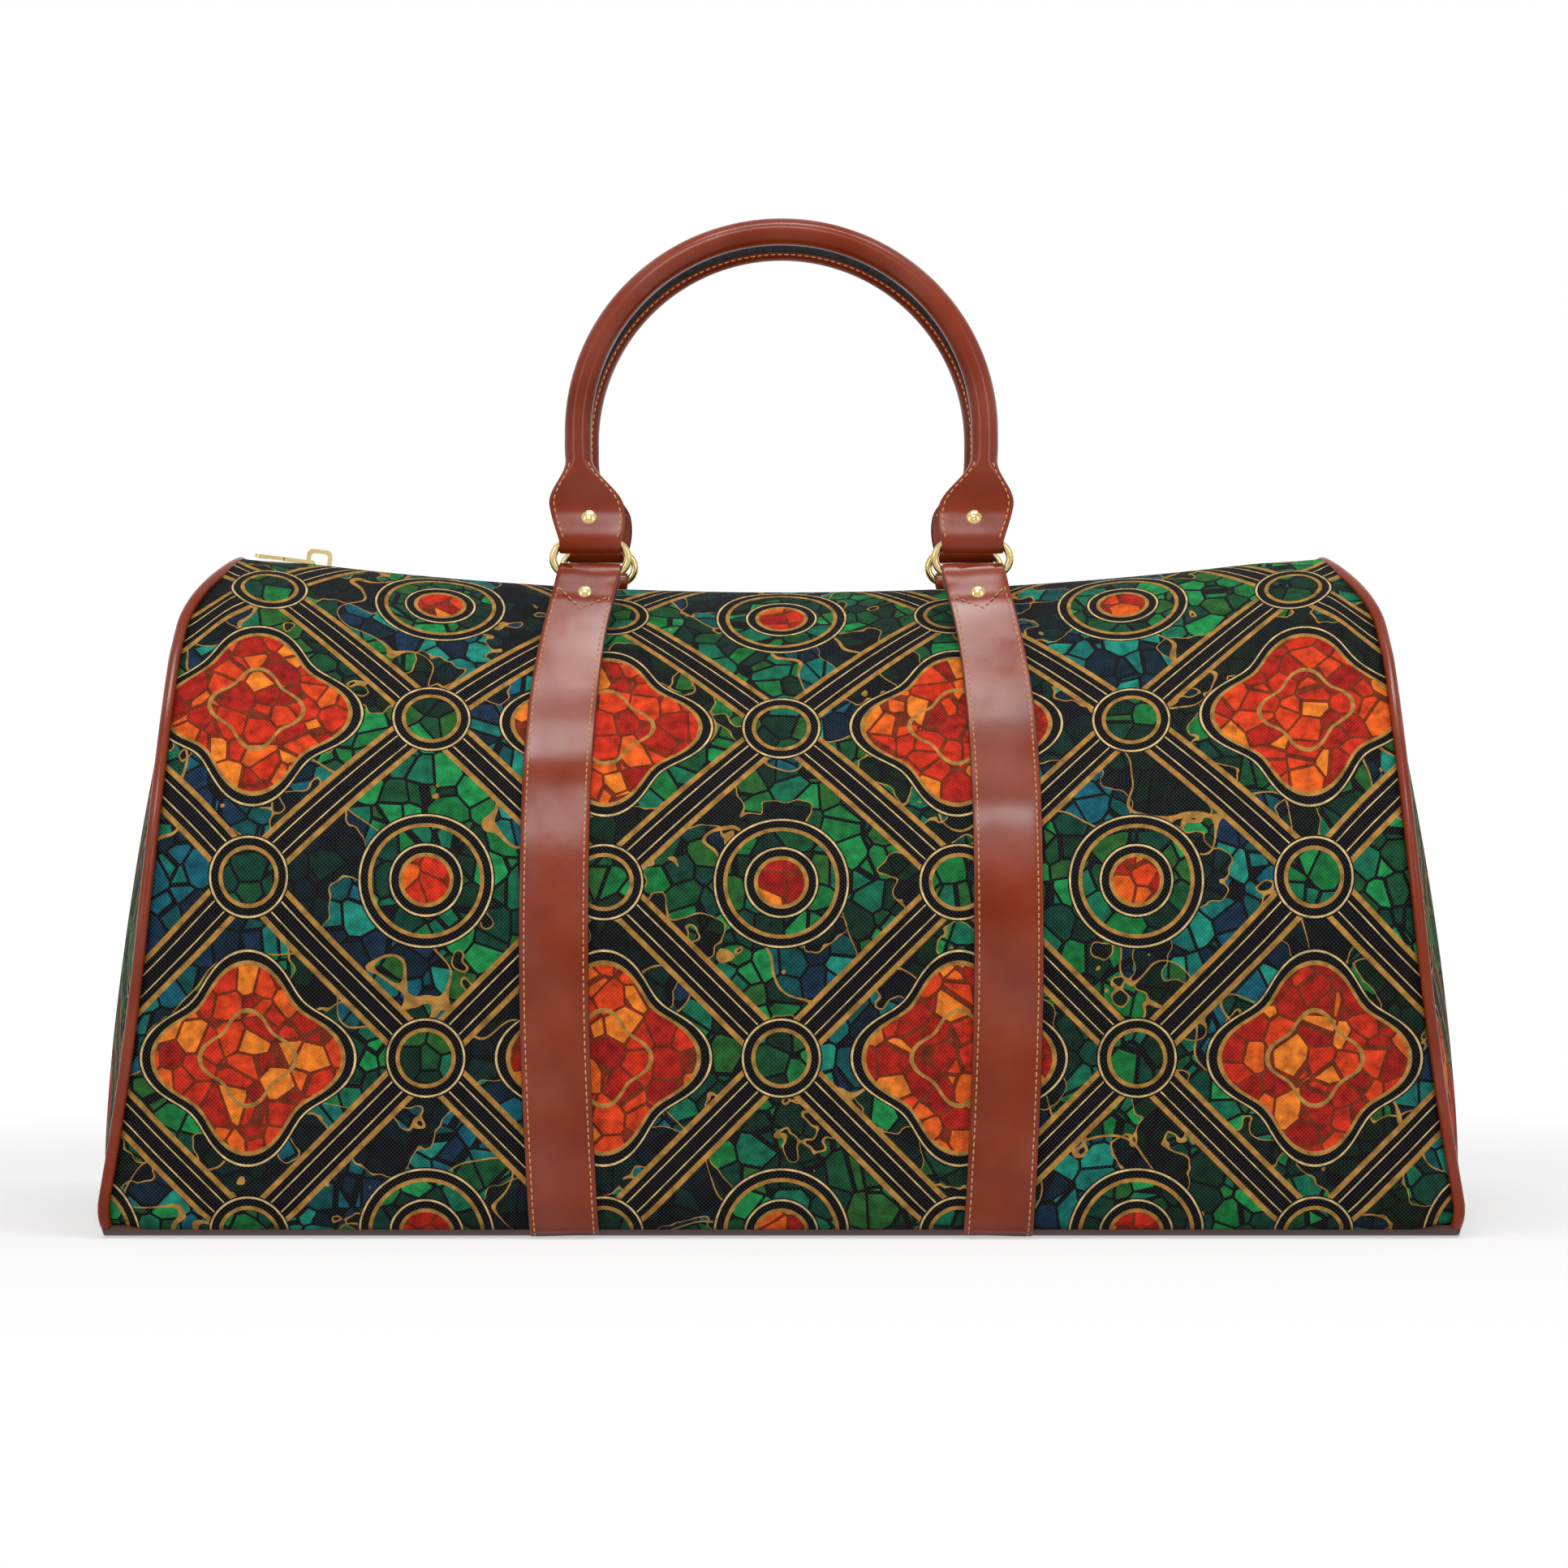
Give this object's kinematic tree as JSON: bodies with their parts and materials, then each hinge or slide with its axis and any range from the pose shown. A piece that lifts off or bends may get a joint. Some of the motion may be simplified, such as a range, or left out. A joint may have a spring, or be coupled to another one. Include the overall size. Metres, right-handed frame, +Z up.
{
  "type": "travel bag",
  "caption": "Soft travel bag with a flat bottom, sewn straps, rolled handles on oval rings and a zip along its sagging top.",
  "frame": {"origin": "middle of the bottom, on the surface that the bag stands on", "axes": "+X along the bag to the right as seen from the front, +Y to the back, +Z up"},
  "size_m": [0.5286, 0.2354, 0.3909],
  "materials": {
    "canvas": "printed oxford weave",
    "leather": "semi-gloss",
    "bottom_leather": "matte",
    "board": "matte",
    "zip_tape": "woven",
    "zip_teeth": "satin",
    "gold": "polished",
    "core": "matte"
  },
  "bodies": {
    "bag": {"front_panel": "canvas", "back_panel": "canvas", "end_panel_left": "canvas", "end_panel_right": "canvas", "piping_left": "leather", "piping_right": "leather", "strap_front_left": "leather", "strap_front_right": "leather", "strap_back_left": "leather", "strap_back_right": "leather", "bottom_panel": "bottom_leather", "base_board": "board", "zip_tape_front": "zip_tape", "zip_tape_back": "zip_tape", "zip_teeth_front": "zip_teeth", "zip_teeth_back": "zip_teeth", "zip_stops": "gold", "strap_rivets_front": "gold", "strap_rivets_back": "gold"},
    "zip_slider": {"zip_slider": "gold"},
    "zip_pull": {"zip_pull": "gold"},
    "ring_front_left": {"ring_front_left": "gold"},
    "ring_front_right": {"ring_front_right": "gold"},
    "handle_front": {"handle_front": "leather", "handle_core_front": "core", "handle_rivets_front": "gold"},
    "ring_back_left": {"ring_back_left": "gold"},
    "ring_back_right": {"ring_back_right": "gold"},
    "handle_back": {"handle_back": "leather", "handle_core_back": "core", "handle_rivets_back": "gold"}
  },
  "joints": [
    {"name": "zip_run", "type": "hinge", "parent": "bag", "child": "zip_slider", "pos_m": [0, 0, 1.77903], "axis": [0, -1, 0], "range_deg": [0, 13.9]},
    {"name": "pull_flip", "type": "hinge", "parent": "zip_slider", "child": "zip_pull", "pos_m": [-0.18558, 0, 0.25775], "axis": [0, 1, 0], "range_deg": [0, 165]},
    {"name": "ring_front_left_tip", "type": "hinge", "parent": "bag", "child": "ring_front_left", "pos_m": [-0.074, -0.044, 0.25149], "axis": [1, 0, 0], "range_deg": [0, 70]},
    {"name": "ring_front_right_tip", "type": "hinge", "parent": "bag", "child": "ring_front_right", "pos_m": [0.074, -0.044, 0.25149], "axis": [1, 0, 0], "range_deg": [0, 70]},
    {"name": "handle_front_swing", "type": "hinge", "parent": "ring_front_left", "child": "handle_front", "pos_m": [-0.074, -0.044, 0.26349], "axis": [1, 0, 0], "range_deg": [-10, 70]},
    {"name": "ring_back_left_tip", "type": "hinge", "parent": "bag", "child": "ring_back_left", "pos_m": [-0.074, 0.044, 0.25149], "axis": [-1, 0, 0], "range_deg": [0, 70]},
    {"name": "ring_back_right_tip", "type": "hinge", "parent": "bag", "child": "ring_back_right", "pos_m": [0.074, 0.044, 0.25149], "axis": [-1, 0, 0], "range_deg": [0, 70]},
    {"name": "handle_back_swing", "type": "hinge", "parent": "ring_back_left", "child": "handle_back", "pos_m": [-0.074, 0.044, 0.26349], "axis": [-1, 0, 0], "range_deg": [-10, 70]}
  ],
  "couplings": [
    {"joint": "ring_front_right_tip", "follows": "ring_front_left_tip", "ratio": 1},
    {"joint": "ring_back_right_tip", "follows": "ring_back_left_tip", "ratio": 1}
  ]
}
